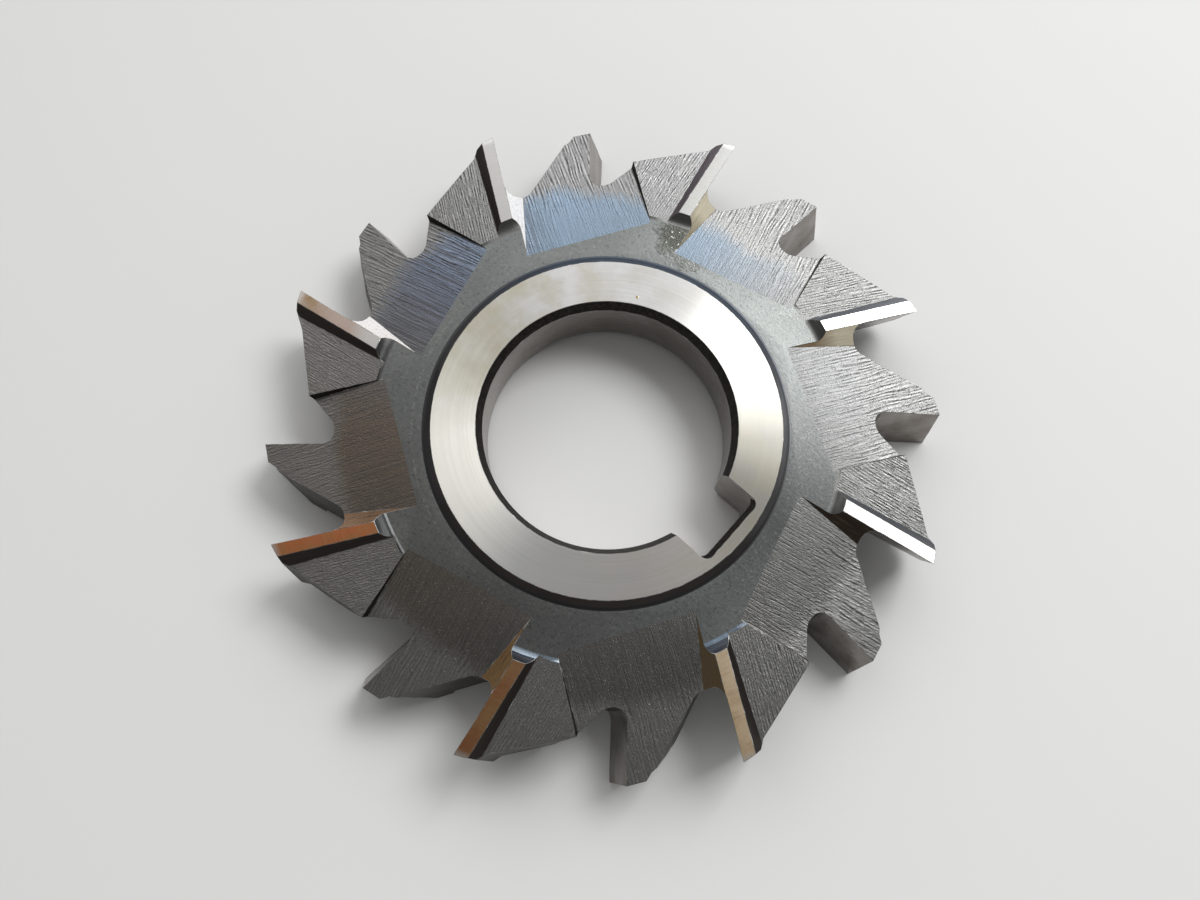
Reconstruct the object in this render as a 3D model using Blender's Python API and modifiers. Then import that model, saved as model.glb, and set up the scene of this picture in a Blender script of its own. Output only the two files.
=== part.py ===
"""Side milling cutter with staggered side teeth, lying flat.

One piece of tool steel. The bore axis is +Z, the origin is on it at the underside,
and +X runs through the middle of the keyway. Half of the teeth cut on the upper side
and half on the lower side, and they take turns round the rim with opposite helix.
A tooth's own frame has x through its tip and y trailing away behind it.
"""

import math

import bmesh
import bpy
from mathutils import Matrix, Vector

MM = 0.001
STEEL_COLOUR = (0.36, 0.37, 0.36, 1.0)
STEEL_ROUGHNESS = 0.38

# Overall sizes
OUTSIDE_RADIUS = 34.925 * MM
WIDTH = 7.9375 * MM
BORE_RADIUS = 12.7 * MM

# Hub and the turned recess on each side
BORE_CHAMFER_WIDTH = 0.6 * MM
BORE_CHAMFER_DEPTH = 1.0 * MM
RING_RADIUS = 17.85 * MM
RING_BEVEL_WIDTH = 0.72 * MM
RING_FOOT_FILLET = 0.6 * MM
WEB_DEPTH = 0.63 * MM
RECESS_RADIUS = 25.0 * MM
RECESS_FILLET = 1.65 * MM

# Keyway
KEYWAY_WIDTH = 7.9 * MM
KEYWAY_FLOOR = 16.11 * MM
KEYWAY_FILLET = 0.8 * MM
KEYWAY_CHAMFER = 0.55 * MM

# Tooth layout, at half of the width
TOOTH_PAIRS = 8
LOWER_TOOTH_ANGLE = math.radians(-0.7)
UPPER_TO_LOWER = math.radians(24.65)
HELIX_ANGLE = math.radians(14.4)

# Gullet in front of each tooth
UPPER_RAKE = math.radians(7.9)
LOWER_RAKE = math.radians(2.0)
GULLET_DEPTH = 7.2 * MM
GULLET_REACH = 1.85 * MM
GULLET_WALL_ANGLE = math.radians(51.5)
RAKE_FILLET = 1.2 * MM
WALL_FILLET = 1.7 * MM

# Rim of each tooth behind its edge, and how much of the way to the next edge it fills
RIM_MARGIN = 0.1 * MM
RELIEF_WIDTH = 1.9 * MM
RELIEF_ANGLE = math.radians(11.0)
HEEL_WIDTH = 0.55 * MM
HEEL_DROP = 0.8 * MM
BACK_ANGLE = math.radians(56.0)
BACK_SHARE = 0.87

# Side land and the lower facet behind it
LAND_WIDTH = 1.36 * MM
LAND_BACK_ANGLE = math.radians(7.1)
LAND_WALL_ANGLE = math.radians(45.0)
BACK_FACET_DEPTH = 1.01 * MM
BACK_FACET_SLOPE = math.radians(2.15)

# Sloping facet on the side of each tooth that doesn't cut there
FACET_START = 20.69 * MM
FACET_SLOPE = math.radians(7.3)
FACET_DIRECTION = math.radians(13.6)
STEP_OFFSET = 9.75 * MM
STEP_DIRECTION = math.radians(10.0)
STEP_WALL_ANGLE = math.radians(72.0)
GASH_WALL_ANGLE = math.radians(41.0)
GASH_SETBACK = 0.05 * MM

# Fineness of the round forms, how far a cutter runs past what it cuts, and how close
# two points of the turned blank must be to become one
ROUND_STEPS = 128
FILLET_STEPS = 4
HELIX_STEPS = 4
OVERRUN = 1.0 * MM
SEAM = 0.01 * MM

PAIR_ANGLE = math.tau / TOOTH_PAIRS
TWIST = math.tan(HELIX_ANGLE) / OUTSIDE_RADIUS
UPPER_TOOTH_ANGLE = LOWER_TOOTH_ANGLE - UPPER_TO_LOWER


def clear_scene():
    for obj in list(bpy.data.objects):
        bpy.data.objects.remove(obj, do_unlink=True)


def new_collection(name):
    collection = bpy.data.collections.new(name)
    bpy.context.scene.collection.children.link(collection)
    return collection


def steel():
    material = bpy.data.materials.new("tool_steel")
    material.use_nodes = True
    shader = material.node_tree.nodes["Principled BSDF"]
    shader.inputs["Base Color"].default_value = STEEL_COLOUR
    shader.inputs["Metallic"].default_value = 1.0
    shader.inputs["Roughness"].default_value = STEEL_ROUGHNESS
    return material


def mesh_object(name, bm, collection):
    bmesh.ops.recalc_face_normals(bm, faces=bm.faces[:])
    mesh = bpy.data.meshes.new(name)
    bm.to_mesh(mesh)
    bm.free()
    obj = bpy.data.objects.new(name, mesh)
    collection.objects.link(obj)
    return obj


def subtract_all(body, cutters):
    """Cuts all the cutters out of the blank at once, so that no cut starts from another's edges."""
    for cutter in cutters.objects:
        cutter.hide_render = True
        cutter.display_type = "WIRE"
    cut = body.modifiers.new("cuts", "BOOLEAN")
    cut.operation = "DIFFERENCE"
    cut.solver = "EXACT"
    cut.operand_type = "COLLECTION"
    cut.collection = cutters


def fillet(before, corner, after, radius):
    """Points of the arc that rounds a corner of an outline."""
    back = (before - corner).normalized()
    ahead = (after - corner).normalized()
    half = back.angle(ahead) / 2
    centre = corner + (back + ahead).normalized() * radius / math.sin(half)
    start = corner + back * radius / math.tan(half) - centre
    end = corner + ahead * radius / math.tan(half) - centre
    step = -start.angle_signed(end) / FILLET_STEPS
    return [centre + Matrix.Rotation(step * n, 2) @ start for n in range(FILLET_STEPS + 1)]


def side_profile():
    """(radius, depth below the side face) from the bore to the rim."""
    ring_edge = Vector((RING_RADIUS, 0.0))
    ring_foot = Vector((RING_RADIUS + RING_BEVEL_WIDTH, WEB_DEPTH))
    web_edge = Vector((RECESS_RADIUS, WEB_DEPTH))
    run = math.sqrt(2 * RECESS_FILLET * WEB_DEPTH - WEB_DEPTH**2)
    sweep = math.asin(run / RECESS_FILLET)
    centre = (RECESS_RADIUS - run, WEB_DEPTH - RECESS_FILLET)
    recess = [
        (
            centre[0] + RECESS_FILLET * math.sin(sweep * n / FILLET_STEPS),
            centre[1] + RECESS_FILLET * math.cos(sweep * n / FILLET_STEPS),
        )
        for n in range(FILLET_STEPS)
    ]
    return [
        (BORE_RADIUS, BORE_CHAMFER_DEPTH),
        (BORE_RADIUS + BORE_CHAMFER_WIDTH, 0.0),
        ring_edge,
        *fillet(ring_edge, ring_foot, web_edge, RING_FOOT_FILLET),
        *recess,
        (RECESS_RADIUS, 0.0),
        (OUTSIDE_RADIUS, 0.0),
    ]


def turned_blank(collection):
    """The blank as it leaves the lathe: rim, recess, ring, chamfers and bore."""
    lower = [Vector((r, 0.0, depth)) for r, depth in reversed(side_profile())]
    upper = [Vector((r, 0.0, WIDTH - depth)) for r, depth in side_profile()]
    points = lower + upper
    mesh = bpy.data.meshes.new("cutter_body")
    count = len(points)
    mesh.from_pydata(points, [(n, (n + 1) % count) for n in range(count)], [])
    body = bpy.data.objects.new("cutter_body", mesh)
    collection.objects.link(body)
    turn = body.modifiers.new("turn", "SCREW")
    turn.angle = math.tau
    turn.steps = ROUND_STEPS
    turn.render_steps = ROUND_STEPS
    turn.use_merge_vertices = True
    turn.merge_threshold = SEAM
    return body


def gullet_outline(rake):
    """The chip space in front of a tooth, in the tooth's own frame."""
    tip = Vector((OUTSIDE_RADIUS, 0.0))
    floor = OUTSIDE_RADIUS - GULLET_DEPTH
    root = Vector((floor, GULLET_DEPTH * math.tan(rake)))
    far_root = Vector((floor, -GULLET_REACH))
    mouth = far_root + Matrix.Rotation(-GULLET_WALL_ANGLE, 2) @ Vector((2 * GULLET_DEPTH, 0.0))
    above_tip = tip + (tip - root).normalized() * 2 * OVERRUN
    return [
        above_tip,
        *fillet(above_tip, root, far_root, RAKE_FILLET),
        *fillet(root, far_root, mouth, WALL_FILLET),
        mouth,
    ]


def back_outline(end_angle):
    """What is ground off the rim behind a tooth's edge, in the tooth's own frame."""
    fall = (RELIEF_WIDTH - RIM_MARGIN) * math.tan(RELIEF_ANGLE)
    heel = Vector((OUTSIDE_RADIUS - fall, RELIEF_WIDTH))
    foot = heel + Vector((-HEEL_DROP, HEEL_WIDTH))
    inward = Vector((-math.cos(BACK_ANGLE), math.sin(BACK_ANGLE)))
    level = foot.x * math.sin(end_angle) - foot.y * math.cos(end_angle)
    rate = inward.y * math.cos(end_angle) - inward.x * math.sin(end_angle)
    end = foot + inward * level / rate
    outer = OUTSIDE_RADIUS + 2 * OVERRUN
    margin = Vector((OUTSIDE_RADIUS, RIM_MARGIN))
    return [
        margin + (margin - heel).normalized() * OVERRUN,
        heel,
        foot,
        end,
        Vector((outer * math.cos(end_angle), outer * math.sin(end_angle))),
        Vector((outer, outer * math.tan(end_angle / 2))),
        Vector((outer, -OVERRUN)),
    ]


def helical_cutter(name, outline, middle_angle, hand, collection):
    """The outline swept up through the width along the helix, once for each pair of teeth.

    hand is +1 where the edge leads at the top, and -1 where it leads at the underside.
    """
    height = WIDTH + 2 * OVERRUN
    start = middle_angle + hand * TWIST * height / 2
    bm = bmesh.new()
    for pair in range(TOOTH_PAIRS):
        turn = Matrix.Rotation(start + PAIR_ANGLE * pair, 4, "Z")
        corners = [bm.verts.new(turn @ Vector((p.x, p.y, -OVERRUN))) for p in outline]
        face = bm.faces.new(corners)
        bmesh.ops.spin(
            bm,
            geom=[face],
            cent=(0.0, 0.0, 0.0),
            axis=(0.0, 0.0, 1.0),
            dvec=(0.0, 0.0, height / HELIX_STEPS),
            angle=-hand * TWIST * height,
            steps=HELIX_STEPS,
        )
    return mesh_object(name, bm, collection)


class SideFrame:
    """Turns depth and tooth frames into the part's frame, for the upper or the lower side."""

    def __init__(self, upper):
        self.upper = upper
        own, other = UPPER_TOOTH_ANGLE, LOWER_TOOTH_ANGLE
        if not upper:
            own, other = other, own
        if other < own:
            other += PAIR_ANGLE
        half = TWIST * WIDTH / 2
        self.land_angle = own - half
        facet_drop = math.tan(FACET_SLOPE) * (
            OUTSIDE_RADIUS * math.cos(FACET_DIRECTION) - FACET_START
        )
        self.facet_angle = other + half - TWIST * (WEB_DEPTH + facet_drop)

    def point(self, angle, x, y, depth):
        across = Matrix.Rotation(angle, 4, "Z") @ Vector((x, y, 0.0))
        across.z = WIDTH - depth if self.upper else depth
        return across

    def direction(self, angle, x, y, depth):
        return self.point(angle, x, y, depth) - self.point(angle, 0.0, 0.0, 0.0)


def keep_side(bm, point, normal):
    """Cuts a block by a plane and keeps what lies on the side that the normal points to."""
    cut = bmesh.ops.bisect_plane(
        bm,
        geom=bm.verts[:] + bm.edges[:] + bm.faces[:],
        plane_co=point,
        plane_no=normal,
        clear_inner=True,
    )
    edges = [item for item in cut["geom_cut"] if isinstance(item, bmesh.types.BMEdge)]
    if edges:
        bmesh.ops.contextual_create(bm, geom=edges)


def block(frame, angle, nearest, planes):
    """A box over one tooth's side, trimmed by planes given as (angle, point, normal)."""
    bm = bmesh.new()
    reach = OUTSIDE_RADIUS + 2 * OVERRUN - nearest
    size = Vector((reach, OUTSIDE_RADIUS, WIDTH / 2 + OVERRUN))
    bmesh.ops.create_cube(bm, size=1.0, matrix=Matrix.Diagonal(size).to_4x4())
    for vert in bm.verts:
        x, y, z = vert.co
        vert.co = frame.point(angle, x + nearest + reach / 2, y, z + size.z / 2 - OVERRUN)
    for plane_angle, point, normal in planes:
        keep_side(bm, frame.point(plane_angle, *point), frame.direction(plane_angle, *normal))
    mesh = bpy.data.meshes.new("block")
    bm.to_mesh(mesh)
    bm.free()
    return mesh


def repeated(name, mesh, collection):
    """One block for each pair of teeth, joined as a single cutter."""
    bm = bmesh.new()
    for pair in range(TOOTH_PAIRS):
        first = len(bm.verts)
        bm.from_mesh(mesh)
        bm.verts.ensure_lookup_table()
        turn = Matrix.Rotation(PAIR_ANGLE * pair, 4, "Z")
        bmesh.ops.transform(bm, matrix=turn, verts=bm.verts[first:])
    bpy.data.meshes.remove(mesh)
    return mesh_object(name, bm, collection)


def step_plane(frame, shift=0.0):
    """The steep wall between the back facet and the sloping facet of the next tooth."""
    x, y = -math.sin(STEP_DIRECTION), math.cos(STEP_DIRECTION)
    offset = shift - STEP_OFFSET
    lean = 1 / math.tan(STEP_WALL_ANGLE)
    return (frame.facet_angle, (offset * x, offset * y, WEB_DEPTH), (x, y, -lean))


def facet_cutter(frame, name, collection):
    """Clears one tooth's side down to the sloping facet, up to the next tooth's gash wall."""
    fall = math.tan(FACET_SLOPE)
    x, y = math.cos(FACET_DIRECTION), math.sin(FACET_DIRECTION)
    start = (FACET_START * x, FACET_START * y, WEB_DEPTH)
    floor = (frame.facet_angle, start, (fall * x, fall * y, -1.0))
    rake = UPPER_RAKE if frame.upper else LOWER_RAKE
    next_land = frame.land_angle + PAIR_ANGLE
    edge = (OUTSIDE_RADIUS, -GASH_SETBACK, 0.0)
    lean = math.tan(GASH_WALL_ANGLE)
    gash = (next_land, edge, (-math.sin(rake) * lean, -math.cos(rake) * lean, -1.0))
    inner = FACET_START - OVERRUN
    mesh = block(
        frame,
        frame.facet_angle + FACET_DIRECTION,
        inner,
        [floor, gash, step_plane(frame)],
    )
    return repeated(name, mesh, collection)


def back_cutter(frame, name, collection):
    """Lowers one tooth's side behind its land, as far as the steep step wall."""
    fall = math.tan(BACK_FACET_SLOPE)
    floor = (frame.land_angle, (OUTSIDE_RADIUS, 0.0, BACK_FACET_DEPTH), (fall, 0.0, -1.0))
    x, y = math.sin(LAND_BACK_ANGLE), math.cos(LAND_BACK_ANGLE)
    lean = math.tan(LAND_WALL_ANGLE)
    wall = (frame.land_angle, (OUTSIDE_RADIUS, LAND_WIDTH, 0.0), (x * lean, y * lean, -1.0))
    side, point, normal = step_plane(frame, OVERRUN)
    far_end = (side, point, tuple(-n for n in normal))
    inner = (RING_RADIUS + RING_BEVEL_WIDTH + RECESS_RADIUS) / 2
    mesh = block(frame, frame.land_angle, inner, [floor, wall, far_end])
    return repeated(name, mesh, collection)


def keyway_cutter(collection):
    """The keyway's outline stacked up through the bore, flared at both side faces."""
    half = KEYWAY_WIDTH / 2
    near = [Vector((0.0, -half)), Vector((0.0, half))]
    far = [Vector((KEYWAY_FLOOR, half)), Vector((KEYWAY_FLOOR, -half))]
    outline = [
        *near,
        *fillet(near[1], far[0], far[1], KEYWAY_FILLET),
        *fillet(far[0], far[1], near[0], KEYWAY_FILLET),
    ]
    flare = KEYWAY_CHAMFER + OVERRUN
    bm = bmesh.new()
    corners = [bm.verts.new((p.x + flare if p.x > 0.0 else p.x, p.y, -OVERRUN)) for p in outline]
    levels = [bm.faces.new(corners)]
    rises = [
        (KEYWAY_CHAMFER + OVERRUN, -flare),
        (WIDTH - 2 * KEYWAY_CHAMFER, 0.0),
        (KEYWAY_CHAMFER + OVERRUN, flare),
    ]
    for rise, growth in rises:
        grown = bmesh.ops.extrude_face_region(bm, geom=[levels[-1]])["geom"]
        levels.append(next(item for item in grown if isinstance(item, bmesh.types.BMFace)))
        for vert in levels[-1].verts:
            vert.co.z += rise
            if vert.co.x > 0.0:
                vert.co.x += growth
    bmesh.ops.delete(bm, geom=levels[1:-1], context="FACES_ONLY")
    return mesh_object("keyway_cutter", bm, collection)


def smallest_gap(leading, trailing):
    """The least angle from one tooth's edge to the next one's, on either side face."""
    between = (trailing - leading) % PAIR_ANGLE
    return between - TWIST * WIDTH


def build():
    clear_scene()
    parts = new_collection("side_milling_cutter")
    cutters = new_collection("cutters")
    body = turned_blank(parts)
    body.data.materials.append(steel())
    teeth = (
        ("upper", UPPER_TOOTH_ANGLE, LOWER_TOOTH_ANGLE, UPPER_RAKE, 1),
        ("lower", LOWER_TOOTH_ANGLE, UPPER_TOOTH_ANGLE, LOWER_RAKE, -1),
    )
    for name, angle, next_angle, rake, hand in teeth:
        helical_cutter(f"{name}_gullets", gullet_outline(rake), angle, hand, cutters)
        backs = back_outline(BACK_SHARE * smallest_gap(angle, next_angle))
        helical_cutter(f"{name}_backs", backs, angle, hand, cutters)
    for name, upper in (("upper", True), ("lower", False)):
        frame = SideFrame(upper)
        facet_cutter(frame, f"{name}_facets", cutters)
        back_cutter(frame, f"{name}_back_facets", cutters)
    keyway_cutter(cutters)
    subtract_all(body, cutters)


build()
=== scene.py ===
import math

import bpy
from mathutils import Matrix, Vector


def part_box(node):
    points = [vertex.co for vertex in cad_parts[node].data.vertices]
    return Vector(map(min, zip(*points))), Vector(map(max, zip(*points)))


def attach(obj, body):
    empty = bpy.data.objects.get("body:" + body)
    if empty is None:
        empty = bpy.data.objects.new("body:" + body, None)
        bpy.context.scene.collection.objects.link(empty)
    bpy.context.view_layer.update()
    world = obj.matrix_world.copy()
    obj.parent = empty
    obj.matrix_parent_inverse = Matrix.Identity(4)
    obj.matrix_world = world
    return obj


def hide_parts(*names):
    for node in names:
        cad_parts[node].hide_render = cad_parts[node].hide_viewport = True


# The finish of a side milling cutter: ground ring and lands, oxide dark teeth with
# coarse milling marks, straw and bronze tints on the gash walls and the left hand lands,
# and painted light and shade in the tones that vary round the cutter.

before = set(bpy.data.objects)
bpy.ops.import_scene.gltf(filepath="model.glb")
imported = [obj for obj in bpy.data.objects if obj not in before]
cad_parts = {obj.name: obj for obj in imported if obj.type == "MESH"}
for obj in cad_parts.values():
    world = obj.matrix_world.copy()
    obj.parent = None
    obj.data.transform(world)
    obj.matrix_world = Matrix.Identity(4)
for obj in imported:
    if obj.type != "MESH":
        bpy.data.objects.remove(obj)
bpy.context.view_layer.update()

MM = 0.001
low_corner, high_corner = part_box("cutter_body")
WIDTH = high_corner.z - low_corner.z
OUTSIDE_RADIUS = (high_corner.x - low_corner.x) / 2

# Sizes of the turned forms, as the solid has them
RING_RADIUS = 17.85 * MM
WEB_RADIUS = 18.85 * MM
KEYWAY_REACH = 16.7 * MM
RECESS_RADIUS = 25.0 * MM
WEB_DEPTH = 0.63 * MM

# Where the lands start on each side, and how the teeth repeat
PAIR_ANGLE = math.tau / 8
UPPER_LAND_ANGLE = math.radians(-27.0)
LOWER_LAND_ANGLE = math.radians(-2.36)

# How wide the edges are dulled, and from which angle an edge is dulled or shaded as one
EDGE_WEAR = 0.035 * MM
DULLED_EDGE = math.radians(28.0)
SHARP_EDGE = math.radians(25.0)

# How close two points must be to become one, and how flat two faces, before that
SAME_POINT = 0.02 * MM
SAME_FACE = math.radians(0.2)

# How steep each kind of face lies, as the upright share of its normal
FLAT = 0.99985
BACK_FACET_LEAST = 0.9985
FACET_LEAST = 0.985
GASH_WALL = math.cos(math.radians(41.0))
LAND_WALL = math.cos(math.radians(45.0))
STEP_WALL = math.cos(math.radians(72.0))
LAND_WALL_LEAST = 0.5
LIFT_SLACK = 0.03

# How far a face looks away from the bore, or along the turn, as that share of its normal
RELIEF_OUTWARD = 0.9
FILLET_OUTWARD = -0.08
RAKE_SWIRL = -0.6

# How far below the tips the ground relief reaches
RELIEF_REACH = 0.5 * MM

# The stage: its floor, the room's light and the camera's place and turns in degrees
FLOOR_SIZE = 1.6
BRIGHT_SIDE = (-0.67, 0.743, 0.0)
WALL_STRENGTH = 0.5
BACKDROP_STRENGTH = 0.8
CAMERA_PLACE = (0.0164, -0.02228, 0.09891)
CAMERA_TURNS = (15.18, -1.255, 42.03)


def fine_copy(name):
    """A copy of the cutter with its loose triangles merged into whole faces."""
    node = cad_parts[name]
    bpy.ops.object.select_all(action="DESELECT")
    node.select_set(True)
    bpy.context.view_layer.objects.active = node
    bpy.ops.object.duplicate()
    piece = bpy.context.view_layer.objects.active
    piece.name = "cutter_finish"
    piece.data.name = "cutter_finish"
    bpy.ops.object.mode_set(mode="EDIT")
    bpy.ops.mesh.select_all(action="SELECT")
    bpy.ops.mesh.remove_doubles(threshold=SAME_POINT)
    bpy.ops.mesh.dissolve_limited(angle_limit=SAME_FACE)
    bpy.ops.mesh.select_all(action="SELECT")
    bpy.ops.mesh.normals_make_consistent(inside=False)
    bpy.ops.object.mode_set(mode="OBJECT")
    return piece


def zone_of(centre, normal):
    """The finish that a face has, from its place and the way it looks."""
    radius = centre.xy.length
    depth = WIDTH - centre.z if centre.z > WIDTH / 2 else centre.z
    lift = abs(normal.z)
    outward = normal.xy.dot(centre.xy) / radius
    swirl = (centre.x * normal.y - centre.y * normal.x) / radius
    if lift < STEP_WALL - LIFT_SLACK:
        if radius < KEYWAY_REACH:
            return "bore"
        if swirl < RAKE_SWIRL:
            return "rake"
        at_tip = radius > OUTSIDE_RADIUS - RELIEF_REACH
        return "relief" if at_tip and outward > RELIEF_OUTWARD else "gullet"
    if lift > FLAT:
        if depth > WEB_DEPTH / 2:
            return "web"
        return "ring" if radius < RING_RADIUS else "land"
    if radius < KEYWAY_REACH:
        return "chamfer"
    if radius < WEB_RADIUS:
        return "ring_bevel"
    in_recess = radius < RECESS_RADIUS and abs(lift - GASH_WALL) > LIFT_SLACK
    if in_recess and outward < FILLET_OUTWARD:
        return "recess_fillet"
    if lift > BACK_FACET_LEAST:
        return "back_facet"
    if lift > FACET_LEAST:
        return "facet"
    if lift > (GASH_WALL + LAND_WALL) / 2:
        return "gash_wall"
    return "land_wall" if lift > LAND_WALL_LEAST else "step_wall"


def marks_direction(zone, centre, normal):
    """Which way the tool marks run on a face."""
    flat = Vector((normal.x, normal.y, 0.0))
    if zone in ("facet", "back_facet"):
        return flat.normalized()
    if zone == "land":
        start = UPPER_LAND_ANGLE if centre.z > WIDTH / 2 else LOWER_LAND_ANGLE
        turn = math.atan2(centre.y, centre.x) - start
        angle = start + PAIR_ANGLE * round(turn / PAIR_ANGLE)
        return Vector((math.cos(angle), math.sin(angle), 0.0))
    if abs(normal.z) > FLAT:
        return Vector((1.0, 0.0, 0.0))
    return Vector((-flat.y, flat.x, 0.0)).normalized()


def lay_out_marks(piece):
    """A map in millimetres, along and across the tool marks of each face."""
    layer = piece.data.uv_layers.new(name="marks")
    names = [material.name for material in piece.data.materials]
    for face in piece.data.polygons:
        zone = names[face.material_index]
        along = marks_direction(zone, face.center, face.normal)
        across = face.normal.cross(along)
        if across.z < 0.0:
            across = -across
        for corner in face.loop_indices:
            point = piece.data.vertices[piece.data.loops[corner].vertex_index].co
            layer.data[corner].uv = (point.dot(along) / MM, point.dot(across) / MM)


class Finish:
    """One steel finish, built up as a node tree round the shader, in millimetres.

    The base colour and the roughness hold where no pattern takes their place.
    """

    def __init__(self, name, base, metallic, roughness, anisotropic=0.0):
        self.material = bpy.data.materials.new(name)
        self.material.use_nodes = True
        self.tree = self.material.node_tree
        self.shader = self.tree.nodes["Principled BSDF"]
        self.shader.inputs["Base Color"].default_value = (*base, 1.0)
        self.shader.inputs["Metallic"].default_value = metallic
        self.shader.inputs["Roughness"].default_value = roughness
        self.shader.inputs["Anisotropic"].default_value = anisotropic
        coordinates = self.tree.nodes.new("ShaderNodeTexCoord")
        self.place = self.scaled(coordinates.outputs["Object"], (1 / MM,) * 3)
        marks = self.tree.nodes.new("ShaderNodeUVMap")
        marks.uv_map = "marks"
        self.marks = marks.outputs["UV"]

    def put(self, value, socket):
        if isinstance(value, bpy.types.NodeSocket):
            self.tree.links.new(value, socket)
        else:
            socket.default_value = value

    def math(self, operation, first, second=0.0, third=0.0):
        node = self.tree.nodes.new("ShaderNodeMath")
        node.operation = operation
        for value, socket in zip((first, second, third), node.inputs):
            self.put(value, socket)
        return node.outputs[0]

    def scaled(self, vector, sizes):
        node = self.tree.nodes.new("ShaderNodeVectorMath")
        node.operation = "MULTIPLY"
        self.put(vector, node.inputs[0])
        self.put(sizes, node.inputs[1])
        return node.outputs[0]

    def split(self, vector):
        node = self.tree.nodes.new("ShaderNodeSeparateXYZ")
        self.put(vector, node.inputs[0])
        return node.outputs

    def joined(self, x, y, z=0.0):
        node = self.tree.nodes.new("ShaderNodeCombineXYZ")
        for value, socket in zip((x, y, z), node.inputs):
            self.put(value, socket)
        return node.outputs[0]

    def noise(self, where, scale, detail=3.0, roughness=0.5, distortion=0.0):
        node = self.tree.nodes.new("ShaderNodeTexNoise")
        self.put(where, node.inputs["Vector"])
        node.inputs["Scale"].default_value = scale
        node.inputs["Detail"].default_value = detail
        node.inputs["Roughness"].default_value = roughness
        node.inputs["Distortion"].default_value = distortion
        return node.outputs["Fac"]

    def ranged(self, value, low, high, to_low=0.0, to_high=1.0):
        """Spreads a value from low to high over another range, and holds it there."""
        node = self.tree.nodes.new("ShaderNodeMapRange")
        for part, socket in zip((value, low, high, to_low, to_high), node.inputs):
            self.put(part, socket)
        return node.outputs[0]

    def times(self, first, second):
        return self.math("MULTIPLY", first, second)

    def ramp(self, value, stops):
        node = self.tree.nodes.new("ShaderNodeValToRGB")
        self.put(value, node.inputs["Fac"])
        elements = node.color_ramp.elements
        while len(elements) < len(stops):
            elements.new(0.5)
        for element, (position, colour) in zip(elements, stops):
            element.position = position
            element.color = (*colour, 1.0)
        return node.outputs["Color"]

    def levels(self, value, stops):
        """A number that follows stops of position and level."""
        return self.ramp(value, [(position, (level,) * 3) for position, level in stops])

    def blend(self, share, first, second):
        node = self.tree.nodes.new("ShaderNodeMix")
        node.data_type = "RGBA"
        self.put(share, node.inputs["Factor"])
        for value, socket in ((first, node.inputs[6]), (second, node.inputs[7])):
            self.put((*value, 1.0) if isinstance(value, tuple) else value, socket)
        return node.outputs[2]

    def streaks(self, length, width, detail=4.0, roughness=0.6):
        """Noise drawn out along the tool marks."""
        drawn_out = self.scaled(self.marks, (1 / length, 1 / width, 1.0))
        return self.noise(drawn_out, 1.0, detail, roughness)

    def grooves(self, spacing, length, uneven):
        """Broken grooves along the tool marks at an uneven spacing, and the ridges between them."""
        _, across, _ = self.split(self.marks)
        drift = self.noise(self.scaled(self.marks, (0.1, 0.6, 1.0)), 1.0, 2.0, 0.5)
        turns = self.math("MULTIPLY_ADD", drift, uneven, self.times(across, math.tau / spacing))
        wave = self.math("SINE", turns)
        broken = self.ranged(self.streaks(length, spacing * 1.5, 3.0, 0.6), 0.4, 0.6)
        groove = self.times(self.ranged(wave, 0.4, 0.95), broken)
        ridge = self.times(self.ranged(wave, 0.0, -0.8), broken)
        return groove, ridge

    def radius(self):
        x, y, _ = self.split(self.place)
        squares = self.math("ADD", self.times(x, x), self.times(y, y))
        return self.math("SQRT", squares)

    def turning(self, width, detail=3.0, bend=0.25):
        """Noise drawn out round the bore, in rings of that width."""
        x, y, z = self.split(self.place)
        radius = self.radius()
        around = self.joined(self.math("DIVIDE", x, radius), self.math("DIVIDE", y, radius))
        x, y, _ = self.split(self.scaled(around, (1 / bend,) * 3))
        across = self.math("DIVIDE", self.math("ADD", radius, z), width)
        return self.noise(self.joined(x, y, across), 1.0, detail)

    def round_share(self):
        """How far round the bore a point lies: 0 to 1 for -180 to 180 degrees from the keyway."""
        x, y, _ = self.split(self.place)
        return self.math("MULTIPLY_ADD", self.math("ARCTAN2", y, x), 1 / math.tau, 0.5)

    def near(self, x, y, reach, ragged=0.0):
        """1 at a place on the upper side and 0 past its reach, with a ragged border."""
        here_x, here_y, height = self.split(self.place)
        off_x = self.math("SUBTRACT", here_x, x)
        off_y = self.math("SUBTRACT", here_y, y)
        squares = self.math("ADD", self.times(off_x, off_x), self.times(off_y, off_y))
        distance = self.math("SQRT", squares)
        shift = self.noise(self.place, 0.9, 3.0, 0.6)
        distance = self.math("ADD", distance, self.math("MULTIPLY_ADD", shift, ragged, -ragged / 2))
        upper = self.math("GREATER_THAN", height, WIDTH / MM / 2)
        return self.times(upper, self.ranged(distance, reach, reach * 0.6))

    def colour(self, value):
        self.put(value, self.shader.inputs["Base Color"])

    def gloss(self, value):
        self.put(value, self.shader.inputs["Roughness"])

    def relief(self, *layers):
        """Bumps of (height, depth), laid one over another."""
        normal = None
        for height, depth in layers:
            node = self.tree.nodes.new("ShaderNodeBump")
            node.inputs["Strength"].default_value = 1.0
            node.inputs["Distance"].default_value = depth * MM
            self.put(height, node.inputs["Height"])
            if normal is not None:
                self.put(normal, node.inputs["Normal"])
            normal = node.outputs["Normal"]
        self.put(normal, self.shader.inputs["Normal"])

    def radial_sheen(self):
        """Draws highlights out across the rings of the grinding marks."""
        x, y, _ = self.split(self.place)
        self.put(self.joined(x, y, 0.0), self.shader.inputs["Tangent"])


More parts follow.
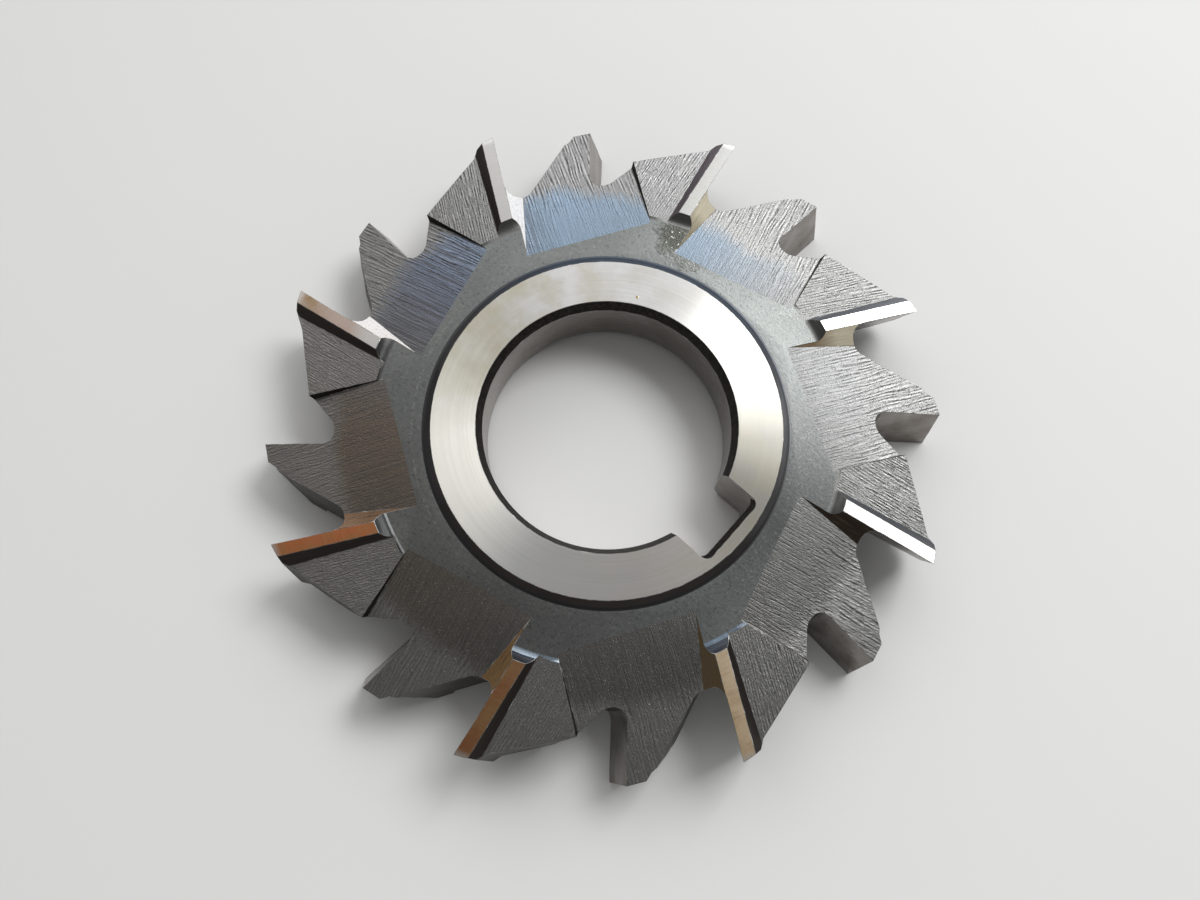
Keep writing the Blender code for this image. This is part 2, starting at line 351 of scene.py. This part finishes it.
def ground_ring():
    """Bright, with fine rings from the grinding wheel and straw coloured oil stains, and painted
    highlights and shade round the bore.
    """
    finish = Finish("ring", (0.6, 0.59, 0.57), 1.0, 0.3, anisotropic=0.92)
    share = finish.round_share()
    cloud = finish.noise(finish.place, 0.35, 4.0, 0.55)
    # Painted light: the silver is brighter where the highlights of the grinding rings fall and darker
    # between them.
    silver_and_painted_light = finish.ramp(
        share,
        [
            (0.00, (0.67, 0.65, 0.60)),
            (0.06, (0.80, 0.78, 0.70)),
            (0.13, (0.88, 0.87, 0.81)),
            (0.20, (0.70, 0.69, 0.64)),
            (0.28, (0.54, 0.54, 0.54)),
            (0.40, (0.57, 0.55, 0.535)),
            (0.46, (0.70, 0.675, 0.65)),
            (0.60, (0.38, 0.375, 0.345)),
            (0.68, (0.62, 0.62, 0.59)),
            (0.80, (0.80, 0.80, 0.80)),
            (0.90, (0.80, 0.80, 0.82)),
            (0.95, (0.70, 0.70, 0.70)),
        ],
    )
    stained = finish.levels(
        share,
        [
            (0.0, 1.0),
            (0.1, 0.35),
            (0.2, 0.1),
            (0.42, 0.25),
            (0.5, 0.9),
            (0.6, 0.4),
            (0.7, 0.05),
            (0.97, 1.0),
        ],
    )
    stain = finish.times(stained, finish.ranged(cloud, 0.35, 0.65, 0.15, 0.7))
    tone = finish.blend(stain, silver_and_painted_light, (0.50, 0.45, 0.31))
    lines = finish.turning(0.22, 5.0, 0.6)
    tone = finish.blend(finish.ranged(lines, 0.35, 0.7, 0.0, 0.14), tone, (0.25, 0.24, 0.23))
    ding = finish.near(x=-6.9, y=12.35, reach=0.2, ragged=0.5)
    tone = finish.blend(ding, tone, (0.34, 0.25, 0.06))
    finish.colour(tone)
    finish.gloss(finish.ranged(cloud, 0.3, 0.7, 0.295, 0.315))
    finish.relief((lines, 0.0012), (ding, 0.01))
    finish.radial_sheen()
    return finish.material


def chamfer():
    """Brown black, with fine turning rings and a few paler specks."""
    finish = Finish("chamfer", (0.03, 0.026, 0.023), 0.8, 0.45)
    specks = finish.noise(finish.place, 2.5, 4.0, 0.7)
    finish.colour(finish.ramp(specks, [(0.4, (0.014, 0.012, 0.011)), (0.75, (0.05, 0.043, 0.036))]))
    finish.relief((finish.turning(0.12), 0.004))
    return finish.material


def bore_wall():
    """Ground, with faint bands round the bore and dull blotches."""
    finish = Finish("bore", (0.4, 0.38, 0.36), 1.0, 0.25)
    x, y, z = finish.split(finish.place)
    stretched = finish.joined(finish.times(x, 0.15), finish.times(y, 0.15), finish.times(z, 9.0))
    bands = finish.noise(stretched, 1.0, 3.0)
    blotches = finish.noise(finish.place, 0.3, 3.0)
    finish.colour(finish.blend(blotches, (0.42, 0.4, 0.38), (0.24, 0.21, 0.19)))
    finish.gloss(finish.ranged(bands, 0.3, 0.7, 0.2, 0.34))
    finish.relief((bands, 0.0015))
    return finish.material


def turned_web():
    """Satin oxide with a fine grain, a few turning lines and one oily patch of bright grit, painted
    lighter and darker round the bore as light and shade.
    """
    finish = Finish("web", (0.18, 0.19, 0.185), 0.95, 0.3)
    grain = finish.noise(finish.place, 4.0, 4.0, 0.75)
    cloud = finish.noise(finish.place, 0.25, 3.0)
    # Painted light and shade: the satin oxide is lighter on the side towards the light and darker away
    # from it.
    oxide_and_painted_light = finish.ramp(
        finish.round_share(),
        [
            (0.10, (0.18, 0.185, 0.18)),
            (0.20, (0.21, 0.215, 0.205)),
            (0.28, (0.15, 0.15, 0.145)),
            (0.45, (0.19, 0.2, 0.195)),
            (0.53, (0.07, 0.073, 0.072)),
            (0.62, (0.16, 0.167, 0.163)),
            (0.72, (0.18, 0.19, 0.185)),
        ],
    )
    tone = finish.blend(finish.ranged(cloud, 0.35, 0.65, 0.0, 0.25), oxide_and_painted_light, (0.11, 0.115, 0.112))
    tone = finish.blend(finish.ranged(grain, 0.42, 0.3, 0.0, 0.8), tone, (0.06, 0.062, 0.06))
    tone = finish.blend(finish.ranged(grain, 0.6, 0.72, 0.0, 0.5), tone, (0.34, 0.36, 0.35))
    specks = finish.noise(finish.place, 2.2, 2.0, 0.6)
    tone = finish.blend(finish.ranged(specks, 0.42, 0.3, 0.0, 0.4), tone, (0.07, 0.072, 0.07))
    tone = finish.blend(finish.ranged(specks, 0.6, 0.7, 0.0, 0.2), tone, (0.32, 0.33, 0.32))
    oily = finish.near(x=-7.4, y=21.6, reach=3.8, ragged=4.0)
    grit = finish.noise(finish.place, 3.2, 3.0, 0.8)
    tone = finish.blend(finish.times(oily, 0.8), tone, (0.045, 0.045, 0.035))
    tone = finish.blend(finish.times(oily, finish.ranged(grit, 0.62, 0.68)), tone, (0.5, 0.5, 0.46))
    dotted_line = 19.8
    off_line = finish.math("ABSOLUTE", finish.math("SUBTRACT", finish.radius(), dotted_line))
    dots = finish.ranged(grit, 0.5, 0.62, 0.0, 0.45)
    dots = finish.times(finish.ranged(off_line, 0.14, 0.04), dots)
    left = finish.levels(finish.round_share(), [(0.0, 0.4), (0.15, 1.0), (0.32, 0.0)])
    tone = finish.blend(finish.times(dots, left), tone, (0.5, 0.5, 0.48))
    finish.colour(tone)
    finish.gloss(finish.ranged(grain, 0.3, 0.7, 0.27, 0.34))
    lines = finish.turning(0.35, 4.0, 0.8)
    finish.relief((lines, 0.003), (grain, 0.012), (finish.times(grit, oily), 0.06))
    return finish.material


def ring_bevel():
    """Turned edge of the ring: brown black, with a painted reflection, pale grey to blue, over part of
    the way round.
    """
    finish = Finish("ring_bevel", (0.07, 0.065, 0.06), 0.9, 0.36)
    lines = finish.turning(0.12)
    # Painted reflection: pale grey, then blue from the sky, on part of the bevel; brown black
    # elsewhere.
    tone = finish.ramp(
        finish.round_share(),
        [
            (0.0, (0.07, 0.07, 0.075)),
            (0.25, (0.04, 0.032, 0.029)),
            (0.5, (0.05, 0.045, 0.043)),
            (0.62, (0.25, 0.25, 0.26)),
            (0.74, (0.13, 0.165, 0.22)),
            (0.90, (0.12, 0.165, 0.24)),
            (1.0, (0.07, 0.07, 0.075)),
        ],
    )
    foot = finish.ranged(finish.radius(), RING_RADIUS / MM + 0.45, WEB_RADIUS / MM - 0.3, 0.0, 0.75)
    tone = finish.blend(foot, tone, (0.045, 0.047, 0.05))
    finish.colour(finish.blend(finish.ranged(lines, 0.4, 0.7, 0.0, 0.4), tone, (0.03, 0.03, 0.03)))
    finish.relief((lines, 0.004))
    return finish.material


def recess_fillet():
    """Dark like the web, with a painted highlight in a band at its foot where the lands end, white on
    the left and pale blue below.
    """
    finish = Finish("recess_fillet", (0.12, 0.12, 0.12), 0.95, 0.38)
    share = finish.round_share()
    _, _, height = finish.split(finish.place)
    off_middle = finish.math("ABSOLUTE", finish.math("SUBTRACT", height, WIDTH / MM / 2))
    above_web = finish.math("SUBTRACT", off_middle, (WIDTH / 2 - WEB_DEPTH) / MM)
    band = finish.levels(share, [(0.22, 0.022), (0.28, 0.1), (0.36, 0.1), (0.43, 0.05)])
    foot = finish.ranged(finish.math("SUBTRACT", above_web, band), 0.01, -0.01)
    # Painted highlight: a white band on the left and a pale blue one below, at the fillet's foot;
    # above the band the fillet is darker.
    rubbed_and_highlight = finish.ramp(
        share,
        [
            (0.13, (0.12, 0.12, 0.12)),
            (0.17, (0.75, 0.76, 0.77)),
            (0.24, (0.12, 0.12, 0.12)),
            (0.30, (0.28, 0.335, 0.39)),
            (0.43, (0.18, 0.235, 0.31)),
            (0.52, (0.15, 0.15, 0.15)),
            (0.62, (0.20, 0.20, 0.195)),
            (0.93, (0.16, 0.16, 0.155)),
        ],
    )
    upper = finish.ramp(
        share,
        [
            (0.05, (0.05, 0.05, 0.05)),
            (0.17, (0.035, 0.037, 0.036)),
            (0.24, (0.03, 0.03, 0.03)),
            (0.31, (0.02, 0.024, 0.03)),
            (0.43, (0.035, 0.042, 0.055)),
            (0.52, (0.08, 0.08, 0.08)),
            (0.66, (0.12, 0.12, 0.115)),
        ],
    )
    lines = finish.turning(0.14)
    tone = finish.blend(foot, upper, rubbed_and_highlight)
    finish.colour(finish.blend(finish.ranged(lines, 0.4, 0.65, 0.0, 0.4), tone, (0.07, 0.07, 0.07)))
    finish.relief((lines, 0.006), (finish.noise(finish.place, 5.0, 3.0, 0.7), 0.015))
    return finish.material


def milled_facet(name, coarse, brightness, sky_reflection_and_tint):
    """Oxide dark, with short thin grooves and a fine ragged grain left by a milling cutter, and
    painted light: shade and light round the cutter, highlights on the ridges, a blue sky reflection
    near the web.
    """
    finish = Finish(name, (0.18, 0.18, 0.175), 0.95, 0.33)
    share = finish.round_share()
    inner = finish.levels(share, [(0.74, 0.4), (0.78, 0.22), (0.9, 0.22), (0.95, 0.75)])
    outer = finish.ranged(finish.radius(), 23.0, 28.5, inner, 1.0)
    # Painted light: grooves are darkened and ridges brightened most on the facets the light grazes,
    # less at the left and below.
    strong_where_lit = finish.levels(
        share,
        [
            (0.02, 0.7),
            (0.12, 0.35),
            (0.42, 0.35),
            (0.49, 1.0),
            (0.57, 1.0),
            (0.62, 0.75),
            (0.8, 0.75),
            (0.9, 1.0),
        ],
    )
    groove, ridge = finish.grooves(spacing=0.36 * coarse, length=2.2, uneven=24.0)
    plain = finish.times(outer, strong_where_lit)
    groove = finish.times(groove, plain)
    ridge = finish.times(ridge, finish.times(plain, outer))
    ragged = finish.streaks(0.5, 0.13, 2.0, 0.6)
    grain = finish.noise(finish.place, 6.0, 3.0, 0.7)
    pits = finish.ranged(finish.noise(finish.place, 5.5, 1.0, 0.5), 0.68, 0.72)
    blotch = finish.noise(finish.place, 0.28, 3.0, 0.5)
    # Painted light and shade: the facets are paler towards the light and darker away from it.
    tone = finish.ramp(
        share,
        [
            (0.00, (0.16, 0.157, 0.153)),
            (0.15, (0.215, 0.20, 0.187)),
            (0.30, (0.24, 0.235, 0.225)),
            (0.45, (0.23, 0.227, 0.22)),
            (0.54, (0.18, 0.18, 0.175)),
            (0.62, (0.175, 0.175, 0.171)),
            (0.68, (0.175, 0.175, 0.171)),
            (0.78, (0.215, 0.215, 0.213)),
            (0.90, (0.222, 0.222, 0.222)),
            (1.00, (0.16, 0.157, 0.153)),
        ],
    )
    # Painted reflection and tint: blue sky reflected on the inner part of some facets, brown tints on
    # others, with dark streaks.
    if sky_reflection_and_tint:
        lines = finish.streaks(7.0, 0.3, 3.0, 0.6)
        tint_and_sky_reflection = finish.ramp(
            share,
            [
                (0.00, (0.125, 0.143, 0.19)),
                (0.04, (0.13, 0.135, 0.15)),
                (0.12, (0.17, 0.135, 0.105)),
                (0.30, (0.14, 0.128, 0.115)),
                (0.44, (0.14, 0.137, 0.13)),
                (0.53, (0.11, 0.11, 0.105)),
                (0.64, (0.165, 0.167, 0.165)),
                (0.72, (0.165, 0.167, 0.165)),
                (0.80, (0.15, 0.19, 0.235)),
                (0.90, (0.19, 0.255, 0.33)),
                (1.00, (0.125, 0.143, 0.19)),
            ],
        )
        lined = finish.levels(
            share,
            [(0.05, 0.8), (0.12, 0.35), (0.75, 0.35), (0.8, 0.14), (0.9, 0.14), (0.95, 0.8)],
        )
        dark_lines = finish.times(finish.ranged(lines, 0.46, 0.6), lined)
        tint_and_sky_reflection = finish.blend(dark_lines, tint_and_sky_reflection, (0.075, 0.075, 0.08))
        reach = finish.levels(share, [(0.7, 1.0), (0.76, 0.0), (0.83, 0.1), (0.9, 1.0)])
        border = finish.ranged(reach, 0.0, 1.0, 26.3, 28.7)
        edge = finish.math("MULTIPLY_ADD", blotch, -2.5, border)
        past = finish.math("SUBTRACT", finish.radius(), edge)
        past = finish.math("MULTIPLY_ADD", lines, 3.0, finish.math("SUBTRACT", past, 1.5))
        tone = finish.blend(finish.ranged(past, 0.9, -0.9, 0.0, 0.95), tone, tint_and_sky_reflection)
    tone = finish.blend(finish.ranged(grain, 0.44, 0.28, 0.0, 0.6), tone, (0.06, 0.06, 0.06))
    tone = finish.blend(finish.times(finish.times(pits, plain), 0.5), tone, (0.05, 0.05, 0.05))
    # Painted highlight along the ridges; in the grooves, oxide and painted shade.
    bright = finish.math("MULTIPLY_ADD", ridge, 0.8, brightness)
    tone = finish.scaled(tone, finish.joined(bright, bright, bright))
    tone = finish.blend(finish.times(groove, 0.8), tone, (0.035, 0.035, 0.035))
    finish.colour(tone)
    finish.gloss(finish.ranged(grain, 0.3, 0.7, 0.29, 0.37))
    finish.relief(
        (groove, -0.03),
        (finish.times(ragged, outer), 0.04),
        (grain, 0.018),
        (finish.times(pits, outer), 0.016),
    )
    return finish.material


def ground_land():
    """Bright ground lands, brown to bronze where they stained, near white at the right as a painted
    highlight.
    """
    finish = Finish("land", (0.6, 0.58, 0.55), 1.0, 0.26)
    share = finish.round_share()
    # Painted highlight: the lands at the right are near white where they mirror the light; the bronze
    # and brown are their own tints.
    tone = finish.ramp(
        share,
        [
            (0.053, (0.50, 0.41, 0.36)),
            (0.175, (0.68, 0.235, 0.095)),
            (0.30, (0.39, 0.165, 0.07)),
            (0.43, (0.92, 0.71, 0.47)),
            (0.50, (0.86, 0.85, 0.84)),
            (0.58, (0.86, 0.85, 0.84)),
            (0.68, (0.82, 0.82, 0.81)),
            (0.80, (0.34, 0.34, 0.33)),
            (0.93, (0.44, 0.43, 0.42)),
        ],
    )
    lines = finish.streaks(0.2, 3.0, 3.0, 0.6)
    mottle = finish.noise(finish.place, 0.6, 4.0, 0.6)
    radius = finish.radius()
    left = finish.levels(share, [(0.07, 0.15), (0.1, 1.0), (0.4, 1.0), (0.47, 0.0)])
    golden = finish.times(left, finish.ranged(mottle, 0.42, 0.66, 0.0, 0.6))
    tone = finish.blend(golden, tone, (0.46, 0.30, 0.13))
    upper_left = finish.ranged(share, 0.09, 0.07)
    pale_root = finish.times(upper_left, finish.ranged(radius, 28.5, 26.5))
    tone = finish.blend(pale_root, tone, (0.6, 0.58, 0.56))
    brown_tip = finish.times(upper_left, finish.ranged(radius, 30.5, 33.5))
    brown_tip = finish.times(brown_tip, finish.ranged(mottle, 0.35, 0.6, 0.2, 0.9))
    tone = finish.blend(brown_tip, tone, (0.34, 0.22, 0.11))
    # Paler at the outer tips: worn steel, with a painted highlight.
    tone = finish.blend(finish.ranged(radius, 34.2, 34.7, 0.0, 0.6), tone, (0.7, 0.69, 0.66))
    tone = finish.blend(finish.ranged(lines, 0.4, 0.7, 0.0, 0.14), tone, (0.28, 0.25, 0.22))
    finish.colour(tone)
    finish.gloss(finish.ranged(lines, 0.3, 0.7, 0.26, 0.32))
    finish.relief((lines, 0.0004))
    return finish.material


def land_wall():
    """Brown black behind most lands, greyer behind the two at the upper right."""
    finish = Finish("land_wall", (0.02, 0.016, 0.015), 0.8, 0.42)
    marks = finish.streaks(4.0, 0.15)
    tone = finish.ramp(
        finish.round_share(),
        [
            (0.52, (0.03, 0.024, 0.021)),
            (0.62, (0.30, 0.325, 0.37)),
            (0.72, (0.26, 0.265, 0.30)),
            (0.82, (0.17, 0.14, 0.16)),
            (0.90, (0.03, 0.024, 0.021)),
        ],
    )
    dark = finish.ranged(marks, 0.35, 0.7, 0.0, 0.5)
    finish.colour(finish.blend(dark, tone, (0.012, 0.009, 0.008)))
    finish.relief((marks, 0.01))
    return finish.material


def gash_wall():
    """Walls in front of the lands: frosty white at the upper left as a painted highlight, gold to
    bronze elsewhere.
    """
    finish = Finish("gash_wall", (0.35, 0.27, 0.18), 1.0, 0.3)
    share = finish.round_share()
    # Painted highlight: near white at both ends of the ramp, on the walls at the upper left; gold to
    # bronze between.
    tone = finish.ramp(
        share,
        [
            (0.04, (0.96, 0.95, 0.95)),
            (0.09, (0.75, 0.66, 0.60)),
            (0.16, (0.52, 0.33, 0.22)),
            (0.28, (0.34, 0.20, 0.09)),
            (0.41, (0.14, 0.10, 0.055)),
            (0.53, (0.03, 0.024, 0.02)),
            (0.58, (0.04, 0.03, 0.024)),
            (0.65, (0.38, 0.25, 0.14)),
            (0.78, (0.62, 0.54, 0.35)),
            (0.86, (0.62, 0.56, 0.42)),
            (0.92, (0.97, 0.97, 0.98)),
        ],
    )
    marks = finish.streaks(3.0, 0.16)
    purple = finish.ranged(finish.streaks(4.0, 0.5, 3.0), 0.52, 0.66, 0.0, 0.6)
    tinted_left = finish.ranged(share, 0.06, 0.15, 0.1, 1.0)
    tinted = finish.times(tinted_left, finish.ranged(share, 0.86, 0.9, 1.0, 0.1))
    tone = finish.blend(finish.times(purple, tinted), tone, (0.12, 0.08, 0.06))
    # Paler and less metallic on the outer part of the walls at the right.
    right = finish.times(finish.ranged(share, 0.6, 0.65), finish.ranged(share, 0.8, 0.86, 0.8, 0.0))
    straw = finish.times(right, finish.ranged(finish.radius(), 23.5, 26.0))
    tone = finish.blend(straw, tone, (0.96, 0.88, 0.68))
    frost = finish.ranged(finish.noise(finish.place, 4.0, 3.0, 0.7), 0.5, 0.68, 0.0, 0.5)
    frost = finish.times(frost, finish.math("SUBTRACT", 1.0, tinted))
    tone = finish.blend(frost, tone, (0.45, 0.45, 0.46))
    dulled = finish.times(finish.ranged(marks, 0.35, 0.7, 0.0, 0.3), tinted)
    finish.colour(finish.blend(dulled, tone, (0.12, 0.09, 0.06)))
    shiny = finish.math("MULTIPLY_ADD", straw, -0.85, finish.ranged(tinted, 0.1, 1.0, 0.15, 1.0))
    finish.put(shiny, finish.shader.inputs["Metallic"])
    finish.gloss(finish.ranged(marks, 0.3, 0.7, 0.24, 0.36))
    finish.relief((marks, 0.008), (finish.noise(finish.place, 3.0, 4.0, 0.7), 0.02))
    return finish.material


def step_wall():
    """The steep dark walls between a back facet and the facet behind it."""
    finish = Finish("step_wall", (0.03, 0.028, 0.026), 0.85, 0.42)
    marks = finish.streaks(3.0, 0.15)
    finish.colour(finish.ramp(marks, [(0.35, (0.014, 0.013, 0.012)), (0.75, (0.06, 0.055, 0.05))]))
    finish.relief((marks, 0.012))
    return finish.material


def ground_rake():
    """The fronts of the teeth: ground along their length, stained in places."""
    finish = Finish("rake", (0.3, 0.285, 0.27), 1.0, 0.27)
    marks = finish.streaks(6.0, 0.1, 3.0)
    blotch = finish.noise(finish.place, 0.35, 3.0)
    stained = finish.ranged(blotch, 0.35, 0.7)
    finish.colour(finish.blend(stained, (0.32, 0.3, 0.285), (0.17, 0.145, 0.125)))
    finish.gloss(finish.ranged(marks, 0.3, 0.7, 0.22, 0.34))
    finish.relief((marks, 0.002))
    return finish.material


def ground_relief():
    """The narrow ground lands on the outside of the teeth."""
    finish = Finish("relief", (0.5, 0.48, 0.46), 1.0, 0.26)
    marks = finish.streaks(4.0, 0.12, 3.0)
    finish.colour(finish.ramp(marks, [(0.35, (0.34, 0.32, 0.3)), (0.7, (0.52, 0.51, 0.49))]))
    finish.relief((marks, 0.003))
    return finish.material


def dark_gullet():
    """Dark walls between the teeth, with pale drag marks."""
    finish = Finish("gullet", (0.07, 0.066, 0.063), 0.9, 0.42)
    marks = finish.streaks(5.0, 0.3, 4.0)
    blotch = finish.noise(finish.place, 0.4, 3.0)
    paler = finish.ranged(blotch, 0.35, 0.7)
    tone = finish.blend(paler, (0.035, 0.032, 0.031), (0.08, 0.075, 0.07))
    finish.colour(finish.blend(finish.ranged(marks, 0.55, 0.8, 0.0, 0.4), tone, (0.2, 0.19, 0.18)))
    finish.relief((marks, 0.02))
    return finish.material


def worn_edge():
    """Dark edges, rubbed down to bare steel in places."""
    finish = Finish("worn_edge", (0.2, 0.2, 0.19), 1.0, 0.38)
    wear = finish.noise(finish.place, 0.9, 4.0, 0.6)
    dark, bare, rubbed_and_highlight = (0.09, 0.088, 0.084), (0.24, 0.24, 0.23), (0.6, 0.6, 0.59)
    finish.colour(finish.ramp(wear, [(0.4, dark), (0.58, bare), (0.68, rubbed_and_highlight)]))
    return finish.material


def dull_edges(piece, finish_index):
    """A narrow worn band along every sharp edge, kept inside the solid's own width."""
    dull = piece.modifiers.new("dull edges", "BEVEL")
    dull.width = EDGE_WEAR
    dull.segments = 2
    dull.limit_method = "ANGLE"
    dull.angle_limit = DULLED_EDGE
    dull.use_clamp_overlap = False
    dull.material = finish_index
    bpy.ops.object.modifier_apply(modifier=dull.name)
    for vertex in piece.data.vertices:
        vertex.co.z = min(max(vertex.co.z, low_corner.z), high_corner.z)
    bpy.ops.object.shade_smooth_by_angle(angle=SHARP_EDGE)
    weigh = piece.modifiers.new("weigh normals", "WEIGHTED_NORMAL")
    weigh.keep_sharp = True
    bpy.ops.object.modifier_apply(modifier=weigh.name)


def dressed_cutter():
    """The cutter with a finish on each face, its edges dulled and its tool marks laid out."""
    piece = fine_copy("cutter_body")
    piece.data.materials.clear()
    finishes = [
        ground_ring(),
        chamfer(),
        bore_wall(),
        turned_web(),
        ring_bevel(),
        recess_fillet(),
        milled_facet("facet", 1.0, 1.0, True),
        milled_facet("back_facet", 0.85, 0.88, False),
        ground_land(),
        land_wall(),
        gash_wall(),
        step_wall(),
        ground_rake(),
        ground_relief(),
        dark_gullet(),
        worn_edge(),
    ]
    names = [finish.name for finish in finishes]
    for finish in finishes:
        piece.data.materials.append(finish)
    for face in piece.data.polygons:
        face.material_index = names.index(zone_of(face.center, face.normal))
    dull_edges(piece, names.index("worn_edge"))
    lay_out_marks(piece)
    return piece


def pale_floor():
    """A plain mat floor that the cutter lies on."""
    bpy.ops.object.select_all(action="DESELECT")
    bpy.ops.mesh.primitive_plane_add(size=FLOOR_SIZE, location=(0.0, 0.0, low_corner.z))
    floor = bpy.context.active_object
    floor.name = "floor"
    surface = bpy.data.materials.new("pale_floor")
    surface.use_nodes = True
    shader = surface.node_tree.nodes["Principled BSDF"]
    shader.inputs["Base Color"].default_value = (0.8, 0.8, 0.79, 1.0)
    shader.inputs["Roughness"].default_value = 0.9
    floor.data.materials.append(surface)


def soft_lamp(name, azimuth, elevation, distance, size, brightness):
    """A soft box aimed at the bore, seen from there at that azimuth and elevation."""
    lamp = bpy.data.lights.new(name, "AREA")
    lamp.shape = "RECTANGLE"
    lamp.size, lamp.size_y = size
    lamp.energy = brightness * math.pi * size[0] * size[1]
    holder = bpy.data.objects.new(name, lamp)
    turn, rise = math.radians(azimuth), math.radians(elevation)
    flat = math.cos(rise)
    aim = Vector((flat * math.cos(turn), flat * math.sin(turn), math.sin(rise)))
    holder.location = Vector((0.0, 0.0, WIDTH)) + aim * distance
    holder.rotation_euler = aim.to_track_quat("Z", "Y").to_euler()
    bpy.context.scene.collection.objects.link(holder)


def room_light():
    """A ceiling that grows brighter towards one side, over pale even walls and a pale backdrop."""
    world = bpy.data.worlds.new("room")
    bpy.context.scene.world = world
    world.use_nodes = True
    tree = world.node_tree
    background = tree.nodes["Background"]
    coordinates = tree.nodes.new("ShaderNodeTexCoord")
    split = tree.nodes.new("ShaderNodeSeparateXYZ")
    tree.links.new(coordinates.outputs["Generated"], split.inputs[0])
    lean = tree.nodes.new("ShaderNodeVectorMath")
    lean.operation = "DOT_PRODUCT"
    tree.links.new(coordinates.outputs["Generated"], lean.inputs[0])
    lean.inputs[1].default_value = BRIGHT_SIDE

    def spread(value, low, high, to_low, to_high):
        node = tree.nodes.new("ShaderNodeMapRange")
        tree.links.new(value, node.inputs["Value"])
        names = ("From Min", "From Max", "To Min", "To Max")
        for number, name in zip((low, high, to_low, to_high), names):
            node.inputs[name].default_value = number
        return node.outputs["Result"]

    def mixed(share, first, second):
        node = tree.nodes.new("ShaderNodeMix")
        tree.links.new(share, node.inputs["Factor"])
        for value, name in ((first, "A"), (second, "B")):
            if isinstance(value, float):
                node.inputs[name].default_value = value
            else:
                tree.links.new(value, node.inputs[name])
        return node.outputs["Result"]

    # A slow rise past the middle of the ceiling, then a steep one down its bright side
    slow_rise = spread(lean.outputs["Value"], 0.1, 0.294, 0.198, 0.403)
    steep_rise = spread(lean.outputs["Value"], 0.294, 0.833, 0.0, 2.09)
    ceiling = tree.nodes.new("ShaderNodeMath")
    tree.links.new(slow_rise, ceiling.inputs[0])
    tree.links.new(steep_rise, ceiling.inputs[1])
    overhead = spread(split.outputs["Z"], 0.3, 0.6, 0.0, 1.0)
    room = mixed(overhead, WALL_STRENGTH, ceiling.outputs[0])
    seen = tree.nodes.new("ShaderNodeLightPath").outputs["Is Camera Ray"]
    tree.links.new(mixed(seen, room, BACKDROP_STRENGTH), background.inputs["Strength"])
    background.inputs["Color"].default_value = (1.0, 1.0, 1.0, 1.0)


def photo_camera():
    """A wide view from above and a little in front, close to the cutter."""
    camera = bpy.data.cameras.new("camera")
    camera.lens = 28.23
    camera.sensor_width = 36.0
    camera.clip_start = 0.005
    holder = bpy.data.objects.new("camera", camera)
    holder.location = CAMERA_PLACE
    holder.rotation_euler = [math.radians(turn) for turn in CAMERA_TURNS]
    bpy.context.scene.collection.objects.link(holder)
    bpy.context.scene.camera = holder


cutter = dressed_cutter()
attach(cutter, "root")
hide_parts("cutter_body")
pale_floor()
soft_lamp("key lamp", azimuth=82.2, elevation=50.9, distance=0.45, size=(0.236, 0.179), brightness=8.0)
room_light()
photo_camera()
bpy.context.scene.view_settings.view_transform = "Standard"
